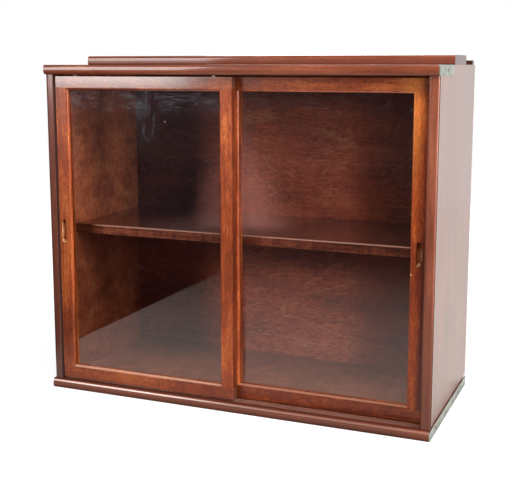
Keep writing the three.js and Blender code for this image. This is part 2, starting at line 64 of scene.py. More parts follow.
class Flow:
    # one socket of a node tree, so that sums on sockets read as sums
    def __init__(self, tree, socket=None):
        self.tree, self.socket = tree, socket

    def node(self, kind, inputs=None, settings=None, out=0):
        made = self.tree.nodes.new(kind)
        for key, value in (settings or {}).items():
            if key == "stops":
                ramp = made.color_ramp
                while len(ramp.elements) < len(value):
                    ramp.elements.new(.5)
                for element, (position, colour) in zip(ramp.elements, value):
                    element.position, element.color = position, colour
            else:
                setattr(made, key, value)
        for key, value in (inputs or {}).items():
            for one in value if isinstance(value, list) else [value]:
                if isinstance(one, Flow):
                    self.tree.links.new(one.socket, made.inputs[key])
                elif one is not None:
                    made.inputs[key].default_value = one
        return Flow(self.tree, made.outputs[out])

    def maths(self, operation, *values):
        return self.node("ShaderNodeMath", dict(enumerate(values)), {"operation": operation})

    def __add__(self, other):
        return self.maths("ADD", self, other)

    def __mul__(self, other):
        return self.maths("MULTIPLY", self, other)

    def __sub__(self, other):
        return self.maths("SUBTRACT", self, other)

    def __rsub__(self, other):
        return self.maths("SUBTRACT", other, self)

    def __truediv__(self, other):
        return self.maths("DIVIDE", self, other)

    def __pow__(self, other):
        return self.maths("POWER", self, other)

    __radd__ = __add__

    def larger(self, other):
        return self.maths("MAXIMUM", self, other)

    def folded(self, height):
        return self.maths("PINGPONG", self, height)

    def absolute(self):
        return self.maths("ABSOLUTE", self)

    def above(self, edge, soft):
        # 0 below the edge, 1 above it, with a soft step between
        return self.node("ShaderNodeMapRange", {0: self, 1: edge - soft, 2: edge + soft, 3: 0., 4: 1.},
                         {"interpolation_type": "SMOOTHSTEP"})

    def below(self, edge, soft):
        return 1 - self.above(edge, soft)

    def near(self, middle, reach, soft):
        # 1 within the reach of a value, 0 away from it
        return (self - middle).absolute().below(reach, soft)

    def noise(self, scale, detail=2., roughness=.5, distortion=0., out=0):
        return self.node("ShaderNodeTexNoise", {"Vector": self, "Scale": scale, "Detail": detail,
                                                "Roughness": roughness, "Distortion": distortion}, out=out)

    def mixed(self, factor, other, blend="MIX"):
        # this colour towards the other one, by the factor
        return self.node("ShaderNodeMix", {0: factor, 6: self, 7: other},
                         {"data_type": "RGBA", "blend_type": blend, "clamp_factor": True}, 2)

    def between(self, first, second):
        # this factor blends two fixed colours
        return self.node("ShaderNodeMix", {0: self, 6: first, 7: second}, {"data_type": "RGBA"}, 2)

    def shader(self, first, second):
        # this factor mixes two surfaces
        return self.node("ShaderNodeMixShader", {0: self, 1: first, 2: second})

    def ramp(self, *stops):
        return self.node("ShaderNodeValToRGB", {0: self}, {"stops": stops})

    def bump(self, strength, distance):
        return self.node("ShaderNodeBump", {"Strength": strength, "Distance": distance, "Height": self})

    def squeezed(self, scale, place=(0, 0, 0), turn=(0, 0, 0)):
        return self.node("ShaderNodeMapping", {
            "Vector": self, "Location": place, "Rotation": turn, "Scale": scale})

    def vector(self, parts):
        return self.node("ShaderNodeCombineXYZ", parts)

    def vectors(self, operation, first, second, out=0):
        return self.node("ShaderNodeVectorMath", {0: first, 1: second}, {"operation": operation}, out)

    def shifted(self, other, amount):
        # a vector moved about by a colour, for grain that wanders
        centred = self.vectors("SUBTRACT", other, (.5, .5, .5))
        return self.vectors("ADD", self, self.vectors("MULTIPLY", centred, (amount,) * 3))

    def within(self, place, radius, soft):
        # 1 close to a point of the piece
        return self.vectors("DISTANCE", self, place, 1).below(radius, soft)

    def axes(self):
        split = self.tree.nodes.new("ShaderNodeSeparateXYZ")
        self.tree.links.new(self.socket, split.inputs[0])
        return [Flow(self.tree, split.outputs[i]) for i in range(3)]


def newMaterial(name):
    # the last result is the spot in the object's own space
    material = bpy.data.materials.new(name)
    material.use_nodes = True
    material.node_tree.nodes.clear()
    flow = Flow(material.node_tree)
    return material, flow, flow.node("ShaderNodeTexCoord", out=3)


def closeMaterial(material, surface):
    out = material.node_tree.nodes.new("ShaderNodeOutputMaterial")
    material.node_tree.links.new(surface.socket, out.inputs["Surface"])
    return material


def linked(name, data):
    obj = bpy.data.objects.new(name, data)
    scene.collection.objects.link(obj)
    return obj


def rayKinds(flow):
    path = flow.tree.nodes.new("ShaderNodeLightPath")
    return [Flow(flow.tree, path.outputs[k]) for k in ("Is Camera Ray", "Is Glossy Ray", "Is Transmission Ray")]


# camera and studio
cameraPlace = dict(
    position=(.83835, -2.02619, .75502),
    yaw=22.3217,
    pitch=-8.7743,
    lens=67.154,
    shift=(-.01287, -.05254))


def placeCamera(settings):
    data = bpy.data.cameras.new("camera")
    data.sensor_width = 36
    data.lens = settings["lens"]
    data.shift_x, data.shift_y = settings["shift"]
    camera = linked("camera", data)
    camera.location = settings["position"]
    camera.rotation_euler = (math.radians(90 + settings["pitch"]), 0, math.radians(settings["yaw"]))
    scene.camera = camera


placeCamera(cameraPlace)

lamps = {
    "keySoftbox": dict(
        at=(-1.66, -2.42, 1.36), facing=(-.1, 0, .45), size=(.8, 1.5), power=38, tint=(1, .97, .95)),
    "highSoftbox": dict(
        at=(.65, -.92, 1.9), facing=(.1, 0, .5), size=(.9, .6), power=25, tint=(1, .97, .94)),
    "sideSoftbox": dict(
        at=(3.2, -1., 1.05), facing=(-.43, 0, .45), size=(1.2, 1.6), power=120, tint=(1, .98, .97)),
    "rearSoftbox": dict(
        at=(-.6, 2.9, 1.5), facing=(0, .2, .4), size=(1.8, 1.6), power=55, tint=(1, 1, 1)),
}


def hangLamp(name, settings):
    data = bpy.data.lights.new(name, "AREA")
    data.shape = "RECTANGLE"
    data.size, data.size_y = settings["size"]
    data.energy = settings["power"]
    data.color = settings["tint"]
    lamp = linked(name, data)
    lamp.location = settings["at"]
    aim = Vector(settings["facing"]) - Vector(settings["at"])
    lamp.rotation_euler = aim.to_track_quat("-Z", "Y").to_euler()
    lamp.visible_camera = False


for lampName, lampSettings in lamps.items():
    hangLamp(lampName, lampSettings)

studio = dict(  # pairs of numbers are an edge and how soft it is
    white=(1, 1, 1, 1),
    ambient=.03,
    frontTone=.02,
    whiteAway=(.1, .25),
    whiteAcross=(-.42, .15),
    floorReach=(3.4, 5., 3.2),
    floorDrop=.0003,
    floorColour=(.34, .337, .33, 1),
    floorShown=.82,
    farFrom=(.95, .5),
    frontMirrored=(1, .8, .745, 1),
    rearMirrored=(.85, .835, .81, 1),
    toneFrom=(-.21, .02),
    mirroredStrength=1.1,
    mirroredAway=(-1.05, .85),
    mirroredAcross=(-.62, .004),
    contact=(.02, .02))


def buildWorld(settings):
    # white behind the object, dark in front of it where the glass and lacquer look
    world = bpy.data.worlds.new("studio")
    world.use_nodes = True
    world.node_tree.nodes.clear()
    scene.world = world
    flow = Flow(world.node_tree)
    seen, mirrored, passed = rayKinds(flow)
    across, away, _ = flow.node("ShaderNodeTexCoord").axes()
    white = away.above(*settings["whiteAway"]) * across.above(*settings["whiteAcross"])
    glossy = white * (1 - settings["frontTone"]) + settings["frontTone"]
    light = mirrored * glossy + (1 - mirrored) * settings["ambient"]
    plain = seen.larger(passed)
    strength = plain + (1 - plain) * light
    background = flow.node("ShaderNodeBackground", {"Color": settings["white"], "Strength": strength})
    out = world.node_tree.nodes.new("ShaderNodeOutputWorld")
    world.node_tree.links.new(background.socket, out.inputs["Surface"])


def buildFloor(settings):
    # its light falls off towards the front, which the panes mirror
    side, front, rear = settings["floorReach"]
    mesh = bpy.data.meshes.new("floor")
    corners = [(-side, -front), (side, -front), (side, rear), (-side, rear)]
    mesh.from_pydata([(x, y, -settings["floorDrop"]) for x, y in corners], [], [(0, 1, 2, 3)])
    floor = linked("floor", mesh)
    material, flow, spot = newMaterial("paleFloor")
    seen, mirrored, passed = rayKinds(flow)
    x, y, _ = spot.axes()
    # painted contact shadow: next to the case the mirrored glow fades away
    beside = (x.absolute() - sideHigh.x).larger(y.absolute() + frontY)
    fade = y.above(*settings["mirroredAway"]) * x.above(*settings["mirroredAcross"])
    fade = fade * beside.above(*settings["contact"])
    matt = flow.node("ShaderNodeBsdfDiffuse", {"Color": settings["floorColour"]})
    distance = (x * x + y * y) ** .5
    white = settings["floorShown"] + distance.above(*settings["farFrom"]) * (1 - settings["floorShown"])
    shown = seen.larger(passed) * white
    lit = flow.node("ShaderNodeAddShader", {
        0: matt, 1: flow.node("ShaderNodeEmission", {"Color": settings["white"], "Strength": shown})})
    tone = y.above(*settings["toneFrom"]).between(settings["frontMirrored"], settings["rearMirrored"])
    glow = flow.node("ShaderNodeEmission", {"Color": tone, "Strength": fade * settings["mirroredStrength"]})
    closeMaterial(material, mirrored.shader(lit, glow))
    mesh.materials.append(material)


buildWorld(studio)
buildFloor(studio)
print("camera, lamps and floor are in place")

# finishes of the wood
plainWood = dict(fleckShare=.4, curlDepth=0., coatIndex=1.5)
doorWood = dict(
    plainWood, dark=paint(122, 49, 18), middle=paint(164, 72, 29), light=paint(212, 111, 50),
    fleck=paint(92, 38, 20), worn=paint(228, 162, 106), end=paint(112, 56, 36),
    cloud=13., cloudShare=.45, band=36., bandShare=.2, streak=130., streakShare=.35, spread=.12,
    pores=560., fleckDepth=.5, speckle=300., speckleDepth=.32, curl=70., curlDepth=.14, wander=.004,
    roughness=.4, coat=.28, coatRoughness=.2, level=.35, bump=.1)
mouldingWood = dict(
    plainWood, dark=paint(92, 42, 26), middle=paint(126, 63, 41), light=paint(160, 88, 58),
    fleck=paint(80, 36, 26), worn=paint(200, 134, 98), end=paint(84, 48, 38),
    cloud=9., cloudShare=.35, band=50., bandShare=.3, streak=190., streakShare=.35, spread=.2,
    pores=760., fleckShare=.36, fleckDepth=.25, speckle=320., speckleDepth=.25, curl=70., wander=.003,
    roughness=.34, coat=.75, coatRoughness=.08, level=.3, bump=.03)
# the left lipping's copy is darker and the right's lighter: painted shade and painted light on the same wood
lippingWood = dict(mouldingWood, dark=paint(84, 42, 31), middle=paint(112, 58, 43), light=paint(140, 78, 58),
                   coatRoughness=.14)
litLipping = dict(mouldingWood, dark=paint(104, 53, 38), middle=paint(137, 75, 54), light=paint(167, 98, 73),
                   coat=.45, coatRoughness=.2)
shelfFront = dict(mouldingWood, dark=paint(58, 24, 17), middle=paint(104, 46, 30), light=paint(156, 80, 52),
                  coat=.2, coatRoughness=.2, spread=.11, curlDepth=.25, fleckDepth=.5)
bottomWood = dict(mouldingWood, dark=paint(80, 36, 20), middle=paint(118, 56, 31), light=paint(154, 82, 48),
                  coat=1., coatRoughness=.1, coatIndex=1.55, grime=paint(84, 34, 16))
# the rear strip's stain is made dark as painted shade
shadedStripWood = dict(mouldingWood, dark=paint(48, 22, 17), middle=paint(70, 33, 26), light=paint(94, 48, 38),
                 coat=.2)
sideVeneer = dict(
    plainWood, dark=paint(98, 60, 47), middle=paint(122, 80, 64), light=paint(148, 104, 84),
    fleck=paint(92, 50, 38), worn=paint(182, 126, 96),
    cloud=4., cloudShare=.4, band=24., bandShare=.25, streak=110., streakShare=.35, spread=.16,
    pores=700., fleckDepth=.4, speckle=200., speckleDepth=.2, wander=.01,
    roughness=.42, coat=.85, coatRoughness=.22, level=.5, bump=.08)
insideVeneer = dict(
    plainWood, dark=paint(124, 58, 36), middle=paint(192, 102, 66), light=paint(232, 144, 94),
    fleck=paint(80, 38, 26), worn=paint(176, 112, 80), end=paint(92, 54, 42), cloud=24., cloudShare=.7,
    cloudDrawn=1.7, band=60., bandShare=.14, streak=150., streakShare=.16, spread=.27,
    pores=420., fleckShare=.42, fleckDepth=.4, speckle=260., speckleDepth=.5, curl=160., curlDepth=.34,
    wander=.02, roughness=.4, coat=.3, coatRoughness=.2, level=.5, bump=.12)
# a darker copy of the inside veneer: painted shade for inner faces that lie in shadow
shadedVeneer = dict(insideVeneer, dark=paint(72, 36, 25), middle=paint(104, 54, 37), light=paint(134, 74, 50))
# a lighter copy of the inside veneer: painted light for the bottom board, which lies in shade
litFloorVeneer = dict(insideVeneer, dark=paint(112, 62, 46), middle=paint(158, 92, 68), light=paint(190, 120, 88))
shelfVeneer = dict(insideVeneer, dark=paint(62, 32, 25), middle=paint(88, 46, 36), light=paint(112, 62, 46),
                   roughness=.24, coat=.8, coatRoughness=.16, speckleDepth=.25, curlDepth=.1)
rawWood = dict(
    plainWood, dark=paint(124, 84, 58), middle=paint(158, 112, 80), light=paint(184, 138, 102),
    fleck=paint(104, 68, 46), worn=paint(196, 156, 120),
    cloud=6., cloudShare=.35, band=36., bandShare=.3, streak=100., streakShare=.35, spread=.13,
    pores=480., fleckDepth=.5, speckle=200., speckleDepth=.3, wander=.01,
    roughness=.72, coat=0., coatRoughness=.3, level=.3, bump=.3)
alongGrain = {"X": lambda s: (s, 1, 1), "Z": lambda s: (1, 1, s)}
boardPlaces = iter((n * 1.37, n * .83, n * 2.11) for n in range(1, 400))  # no two boards alike
fibres = {  # each layer's scale along the fibres, and its noise's detail and roughness
    "cloud": (.5, 3., .55), "band": (.12, 3., .6), "streak": (.04, 4., .65), "pores": (.1, 2., .5),
    "speckle": (.45, 3., .6),
}
wood = dict(
    wander=(.25, 5.), poreSoft=.07, curlTurn=(0, .5, 0), curlSqueeze=(1, 1, .4), curlTwist=.6,
    streakHeight=.6, poreHeight=.5, bumpDistance=.0004, roughSpread=.25, dirtRoughness=.5,
    rubScale=38., rubFrom=(.5, .12), rubShare=.35)


def woodLayers(spot, look, grain, place):
    # colour, height and tone of one board, with its fibres along an axis
    along = alongGrain[grain]
    drawn, scale = wood["wander"]
    wandering = spot.shifted(spot.squeezed(along(drawn), place).noise(scale, out=1), look["wander"])
    layers = {}
    for layer, (drawn, detail, roughness) in fibres.items():
        fibre = wandering.squeezed(along(look.get(layer + "Drawn", drawn)), place)
        layers[layer] = fibre.noise(look[layer], detail, roughness)
    tone = (layers["speckle"] - .5) * look["speckleDepth"]
    for layer in ("cloud", "band", "streak"):
        tone = tone + layers[layer] * look[layer + "Share"]
    if look["curlDepth"]:
        curl = wandering.squeezed(wood["curlSqueeze"], place, wood["curlTurn"])
        tone = tone + (curl.noise(look["curl"], 3., .6, wood["curlTwist"]) - .5) * look["curlDepth"]
    pore = layers["pores"].below(look["fleckShare"], wood["poreSoft"])
    spread = look["spread"]
    colour = tone.ramp((.5 - spread, look["dark"]), (.5, look["middle"]), (.5 + spread, look["light"]))
    colour = colour.mixed(pore * look["fleckDepth"], look["fleck"])
    return colour, layers["streak"] * wood["streakHeight"] - pore * wood["poreHeight"], tone


def lacquered(look, colour, height, rough, dull=None):
    return colour.node("ShaderNodeBsdfPrincipled", {
        "Base Color": colour, "Roughness": rough, "Coat Roughness": look["coatRoughness"],
        "Coat IOR": look["coatIndex"], "Specular IOR Level": look["level"],
        "Coat Weight": look["coat"] if dull is None else (1 - dull) * look["coat"],
        "Normal": height.bump(look["bump"], wood["bumpDistance"])})


def arrisWear(spot, colour, look):
    # rubbed pale edges, which also stand for the highlights that run along the arrises, so wear and painted
    # highlight; the faces that the arris cutter made carry the attribute
    cut = spot.node("ShaderNodeAttribute", None, {"attribute_name": "arris"}, 2)
    rubbed = spot.noise(wood["rubScale"], 3., .6).above(*wood["rubFrom"])
    return colour.mixed(cut * rubbed * wood["rubShare"], look["worn"])


def stainedWood(name, look, grain, extra=None, shadeMask=None):
    material, _, spot = newMaterial(name)
    colour, height, tone = woodLayers(spot, look, grain, next(boardPlaces))
    colour = arrisWear(spot, colour, look)
    if extra:
        colour = extra(spot, colour)
    rough = look["roughness"] + (tone - .5) * wood["roughSpread"]
    # painted shade: where a mask is given, the finish there is darkened and dulled
    dull = shadeMask(spot) if shadeMask else None
    if shadeMask:
        colour = colour.mixed(dull, look["grime"])
        rough = rough + dull * wood["dirtRoughness"]
    return closeMaterial(material, lacquered(look, colour, height, rough, dull))


cutEnd = dict(
    bend=(12., .01), rings=90., ringTwist=2.5, ringShare=.35, mottle=160., pores=1400.,
    poreBelow=(.42, .06), poreDepth=.6, dusk=.5, stops=(.3, .62), bump=.3,
    roughness=.55, coat=.75, coatRoughness=.22)


def endGrain(name, look, cut):
    # cut ends: open pores and the arcs of the growth rings
    material, flow, spot = newMaterial(name)
    scale, reach = cut["bend"]
    spot = spot.shifted(spot.noise(scale, out=1), reach)
    rings = flow.node("ShaderNodeTexWave", {
        "Vector": spot, "Scale": cut["rings"], "Distortion": cut["ringTwist"], "Detail": 2.}, {
        "wave_type": "RINGS", "rings_direction": "X"}, 1)
    pores = spot.noise(cut["pores"]).below(*cut["poreBelow"])
    tone = rings * cut["ringShare"] + spot.noise(cut["mottle"], 3., .6) * (1 - cut["ringShare"])
    dusk = tuple(c * cut["dusk"] for c in look["end"][:3]) + (1,)
    colour = tone.ramp((cut["stops"][0], dusk), (cut["stops"][1], look["end"]))
    colour = colour.mixed(pores * cut["poreDepth"], dusk)
    return closeMaterial(material, flow.node("ShaderNodeBsdfPrincipled", {
        "Base Color": colour, "Roughness": cut["roughness"], "Coat Weight": cut["coat"],
        "Coat Roughness": cut["coatRoughness"],
        "Normal": (tone - pores).bump(cut["bump"], wood["bumpDistance"])}))


endGrains = {name: endGrain(name + "End", look, cutEnd) for name, look in
             (("door", doorWood), ("moulding", mouldingWood), ("inside", insideVeneer))}

# finished copies of the CAD solids, with eased arrises and smooth curves
easing = dict(weldDistance=.00001, flatAngle=.4, arrisAngle=38, screwAngle=35, steps=2, shortestEdge=.004)
arris = dict(square=0, fine=.0002, crisp=.0003, eased=.0005, soft=.0006, worn=.0008)  # how wide
turned = dict(mostly=.8, partly=.5)  # how far a face's normal leans to an axis


def evaluated(obj):
    return bpy.data.meshes.new_from_object(obj.evaluated_get(bpy.context.evaluated_depsgraph_get()))


def smoothed(work, angle):
    # smooth shading, sharp again at edges over the angle
    bmesh.ops.recalc_face_normals(work, faces=work.faces)
    for face in work.faces:
        face.smooth = True
    for edge in work.edges:
        edge.smooth = edge.calc_face_angle(0) < math.radians(angle)


def finished(nodeName, body, materials, ease, chooser=None):
    work = bmesh.new()
    work.from_mesh(nodes[nodeName].data)
    bmesh.ops.remove_doubles(work, verts=work.verts, dist=easing["weldDistance"])
    bmesh.ops.dissolve_limit(work, angle_limit=math.radians(easing["flatAngle"]),
                             verts=work.verts, edges=work.edges)
    mark = work.faces.layers.float.new("arris")
    if ease:
        crisp = [e for e in work.edges if e.calc_length() > easing["shortestEdge"]
                 and e.calc_face_angle(0) > math.radians(easing["arrisAngle"])]
        cut = bmesh.ops.bevel(work, geom=crisp, offset=ease, segments=easing["steps"], profile=.5,
                              affect="EDGES", clamp_overlap=True)
        for face in cut["faces"]:
            face[mark] = 1
    smoothed(work, easing["arrisAngle"])
    for face in work.faces if chooser else ():
        face.material_index = chooser(face)
    name = nodeName + "_finished"
    mesh = bpy.data.meshes.new(name)
    work.to_mesh(mesh)
    work.free()
    for material in materials:
        mesh.materials.append(material)
    obj = linked(name, mesh)
    weigh = obj.modifiers.new("flatFaces", "WEIGHTED_NORMAL")
    weigh.keep_sharp = True
    made = evaluated(obj)
    made.name = name
    obj.modifiers.clear()
    obj.data = made
    bpy.data.meshes.remove(mesh)
    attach(obj, body)
    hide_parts(nodeName)


def endSkin(axis):
    return lambda face: 1 if abs(face.normal[axis]) > turned["mostly"] else 0


# case
def panelSkins(direction):
    # 0 outer face, 1 inner face, 2 the raw edge that shows behind, 3 the cut ends
    def choose(face):
        middle, normal = face.calc_center_median(), face.normal
        if normal.y > turned["partly"]:
            return 2
        if abs(normal.z) > turned["mostly"]:
            return 3
        return 0 if middle.x * direction > (sideHigh.x + sideLow.x) / 2 else 1
    return choose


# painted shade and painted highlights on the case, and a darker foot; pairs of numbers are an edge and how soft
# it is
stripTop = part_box("right_bottom_strip")[1].z
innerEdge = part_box("left_front_lipping")[1].x
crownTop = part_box("top_front_moulding")[1].z
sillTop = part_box("bottom_front_moulding")[1].z
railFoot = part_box("stacking_rail")[0].z
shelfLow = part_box("shelf_board")[0].z
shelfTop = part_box("shelf_front_lipping")[1].z
shadePlaces = {  # axis, side of the edge, the edge and its softness, share
    # every place is painted shade: the line above the strip, the lipping's inner edge and its quirk, the
    # moulding's top arris where it damps a reflection, the rail's lower half, and the sill's ledge under the door
    # and its foot
    "stripSeam": (2, "near", (stripTop + .0017, .0019, .0006), 1.),
    "innerEdge": (0, "above", (innerEdge - .0032, .0008), 1.),
    "quirk": (1, "above", (frontY + .003, .0015), 1.),
    "crown": (2, "above", (crownTop - .0008, .0004), .7),
    "railFoot": (2, "below", (railFoot + .009, .004), .8),
    "ledge": (2, "above", (sillTop - .0007, .0008), 1.),
    "foot": (2, "below", (sillTop - .009, .002), .4),
}
footTone = dict(below=(.2, .2), share=.68, tone=(.3, .24, .24, 1))
insideShade = dict(tone=(.34, .3, .3, 1), shelf=(shelfLow, .02), shelfShare=.75, door=(-.11, .05),
                  doorShare=.3, track=(-.143, .012), trackShare=.6)
frontHighlightLine = dict(below=(sideLow.y + .0065, .0015), share=.5, tone=paint(240, 226, 206))
crest = dict(line=(sillTop - .004, .0018, .0012), share=.22, left=(-.1, .3), leftShare=.42,
             tone=paint(242, 204, 190))
shelfEdge = dict(end=(-.378, .008), endShare=.75, shade=(.35, .3, .3, 1), line=(shelfTop - .0018, .0004),
                 share=.6, tone=paint(230, 170, 150))
shelfSheenPatch = dict(patch=(-.11, .09, .16), scale=30., cloudAbove=(.35, .3), share=.6, tone=paint(178, 150, 150))


def darkFoot(spot, colour):
    # the colour gets darker towards the floor
    low = spot.axes()[2].below(*footTone["below"])
    return colour.mixed(low * footTone["share"], footTone["tone"], "MULTIPLY")


def shadedInside(spot, colour):
    # painted shade on the inner veneer: under the shelf, a little behind the door, and at its front edge beside
    # the stile
    _, y, z = spot.axes()
    for axis, place in ((z, "shelf"), (y, "door"), (y, "track")):
        kept = axis.below(*insideShade[place]) * insideShade[place + "Share"]
        colour = colour.mixed(kept, insideShade["tone"], "MULTIPLY")
    return colour


def frontHighlight(spot, colour):
    # a painted highlight along the front edge of the side panel
    front = spot.axes()[1].below(*frontHighlightLine["below"])
    return colour.mixed(front * frontHighlightLine["share"], frontHighlightLine["tone"])


def crestHighlight(spot, colour):
    # a painted highlight along the round of the moulding, stronger on the left
    x, _, z = spot.axes()
    share = crest["share"] + x.below(*crest["left"]) * crest["leftShare"]
    return colour.mixed(z.near(*crest["line"]) * share, crest["tone"])


def shelfEdgeLight(spot, colour):
    # a painted highlight on the upper arris, and painted shadow at the end that hides behind the stile
    x, _, z = spot.axes()
    end = x.below(*shelfEdge["end"])
    line = z.above(*shelfEdge["line"]) * (1 - end)
    colour = colour.mixed(line * shelfEdge["share"], shelfEdge["tone"])
    return colour.mixed(end * shelfEdge["endShare"], shelfEdge["shade"], "MULTIPLY")


def shelfSheen(spot, colour):
    # a painted sheen in the middle of the shelf
    patch = spot.axes()[0].near(*shelfSheenPatch["patch"])
    cloud = spot.noise(shelfSheenPatch["scale"], 3., .6).above(*shelfSheenPatch["cloudAbove"])
    return colour.mixed(patch * cloud * shelfSheenPatch["share"], shelfSheenPatch["tone"])


def shadedAt(*places):
    # painted shade: a darker, duller finish in one or more of the places above
    def shadeMask(spot):
        found = []
        for place in places:
            axis, side, edge, share = shadePlaces[place]
            found.append(getattr(spot.axes()[axis], side)(*edge) * share)
        return found[0].larger(found[1]) if found[1:] else found[0]
    return shadeMask


rawWithin = dict(rear=.003, foot=.001)  # of the case's rear and of the floor
outerVeneer = dict(sideVeneer, grime=paint(40, 26, 22))
# painted shade: the right panel's inside takes the darker copy of the inner veneer
sideLooks = (("left", -1, insideVeneer, dict(lippingWood, grime=paint(46, 22, 16)), "innerEdge"),
             ("right", 1, shadedVeneer, dict(litLipping, grime=paint(66, 34, 27)), "quirk"))
for side, direction, inner, lipping, shadePlace in sideLooks:
    skins = [stainedWood(side + "SideVeneer", outerVeneer, "Z", frontHighlight, shadedAt("stripSeam")),
             stainedWood(side + "InnerVeneer", inner, "Z", shadedInside),
             stainedWood(side + "PanelEdge", rawWood, "Z"), endGrains["inside"]]
    finished(side + "_side_panel", "case", skins, arris["crisp"], panelSkins(direction))
    finished(side + "_front_lipping", "case",
             [stainedWood(side + "LippingStain", lipping, "Z", darkFoot, shadedAt(shadePlace))], arris["fine"])


def boardSkins(face):
    # 0 the stained outside, 1 the inside, 2 raw edges
    middle, up, back = face.calc_center_median(), face.normal.z, face.normal.y
    if back > turned["partly"] and middle.y > sideHigh.y - rawWithin["rear"]:
        return 2
    if middle.z > shelfTop:
        return 0 if up > turned["partly"] else 1
    return 2 if up < -turned["partly"] and middle.z < rawWithin["foot"] else 1


# the top board's inside takes the darker copy of the inner veneer, painted shade, and the bottom board's inside
# the lighter one, painted light
for name, inner in (("top_board", shadedVeneer), ("bottom_board", litFloorVeneer)):
    skins = [stainedWood(name + "Stain", sideVeneer, "X"), stainedWood(name + "Inside", inner, "X"),
             stainedWood(name + "Raw", rawWood, "X")]
    finished(name, "case", skins, arris["crisp"], boardSkins)

topWood = dict(mouldingWood, grime=paint(150, 92, 72))
railWood = dict(mouldingWood, grime=paint(112, 54, 36))
for name, look, ease, extra, shadeMask in (
        ("top_front_moulding", topWood, "crisp", None, shadedAt("crown")),
        ("bottom_front_moulding", bottomWood, "crisp", crestHighlight, shadedAt("ledge", "foot")),
        ("stacking_rail", railWood, "soft", None, shadedAt("railFoot")),
        ("shelf_front_lipping", shelfFront, "worn", shelfEdgeLight, None)):
    finished(name, "case", [stainedWood(name + "Stain", look, "X", extra, shadeMask),
                                             endGrains["moulding"]], arris[ease], endSkin(0))
for name, look, extra in (("rear_locating_strip", shadedStripWood, None), ("shelf_board", shelfVeneer, shelfSheen)):
    finished(name, "case", [stainedWood(name + "Stain", look, "X", extra), endGrains["inside"]],
             arris["eased"], endSkin(0))
print("case boards and mouldings are finished")

backPly = dict(
    plainWood, dark=paint(136, 58, 42), middle=paint(192, 90, 62), light=paint(224, 118, 80),
    line=paint(246, 170, 124), fleck=paint(96, 46, 34),
    cloud=11., cloudShare=.5, band=34., bandShare=.25, streak=70., streakShare=.25, spread=.17,
    pores=380., fleckDepth=.3, speckle=210., speckleDepth=.25, curl=75., curlDepth=.2, wander=.03,
    roughness=.55, roughSpread=.2, coat=.05, coatRoughness=.3, level=.3, bump=.05,
    place=(3.1, 0, 5.7), patch=7., patchFrom=(.44, .1), contour=4., contours=12., contourPlace=(1.7, 0, .4),
    contourBend=.8, lineBelow=(.04, .03), lineFrom=(.52, .08), lineShare=.3, ripple=230., rippleBend=(14., .03),
    darkBelow=(.44, .06), darkShare=.4, paleFrom=(.6, .05), paleShare=.2,
    heart=(.005, .22, .08), heartTop=(.665, .04), underShelf=(.25, .045), atShelf=(.34, .03),
    shade=(.27, .25, .29, 1), shadeShare=.85)


def figuredPly(name, look):
    # rotary cut veneer: level streaks, ripples, broken contour lines, and painted light and shade: a lit middle,
    # with painted shade at the sides, at the top and around the shelf
    material, _, spot = newMaterial(name)
    colour, height, tone = woodLayers(spot, look, "X", look["place"])
    level = spot.squeezed((.5, 1, 1), look["contourPlace"]).noise(look["contour"], 2., .4) * look["contours"]
    line = (level + tone * look["contourBend"]).folded(.5).below(*look["lineBelow"])
    patch = spot.noise(look["patch"])
    colour = colour.mixed(line * patch.above(*look["lineFrom"]) * look["lineShare"], look["line"])
    bend, reach = look["rippleBend"]
    waves = spot.shifted(spot.noise(bend, out=1), reach).squeezed((.22, 1, 1)).noise(look["ripple"], 2., .6)
    figured = patch.above(*look["patchFrom"])
    colour = colour.mixed(waves.below(*look["darkBelow"]) * figured * look["darkShare"], look["fleck"])
    colour = colour.mixed(waves.above(*look["paleFrom"]) * figured * look["paleShare"], look["line"])
    x, _, z = spot.axes()
    # painted light in the middle of the back, painted shade at its sides, its top and round the shelf
    litMiddle = x.near(*look["heart"]) * z.below(*look["heartTop"])
    litMiddle = litMiddle * (1 - z.above(*look["underShelf"]) * z.below(*look["atShelf"]))
    colour = colour.mixed((1 - litMiddle) * look["shadeShare"], look["shade"], "MULTIPLY")
    rough = look["roughness"] + (tone - .5) * look["roughSpread"]
    return closeMaterial(material, lacquered(look, colour, height, rough))


plySkins = [figuredPly("figuredPly", backPly), stainedWood("plyRear", dict(rawWood, wander=.02), "X")]
finished("back_panel", "case", plySkins, arris["crisp"],
         lambda face: 1 if face.normal.y > turned["partly"] else 0)

nylon = dict(
    scuffs=160., paleFrom=(.58, .1), paleShare=.35, pale=1.6, clouds=60., darkBelow=(.42, .1),
    darkShare=.3, dark=.6, bump=.08, bumpDistance=.0002, roughSpread=.3)


def mouldedNylon(name, colour, roughness, look):
    material, flow, spot = newMaterial(name)
    scuffs = spot.squeezed((.1, 1, 1)).noise(look["scuffs"], 3., .6)
    pale, dark = (tuple(min(1, c * k) for c in colour[:3]) + (1,) for k in (look["pale"], look["dark"]))
    shade = (scuffs.above(*look["paleFrom"]) * look["paleShare"]).between(colour, pale)
    shade = shade.mixed(spot.noise(look["clouds"]).below(*look["darkBelow"]) * look["darkShare"], dark)
    return closeMaterial(material, flow.node("ShaderNodeBsdfPrincipled", {
        "Base Color": shade, "Roughness": roughness + (scuffs - .5) * look["roughSpread"],
        "Normal": scuffs.bump(look["bump"], look["bumpDistance"])}))


whiteNylon = mouldedNylon("whiteNylon", paint(206, 198, 186), .45, nylon)
# the right door's guides take a darker copy of the nylon: painted shade
greyNylon = mouldedNylon("greyNylon", paint(74, 66, 60), .45, nylon)
brownNylon = mouldedNylon("brownNylon", paint(112, 84, 78), .14, nylon)
for name in ("front_bottom_runner", "rear_bottom_runner"):
    finished(name, "case", [brownNylon], arris["square"])

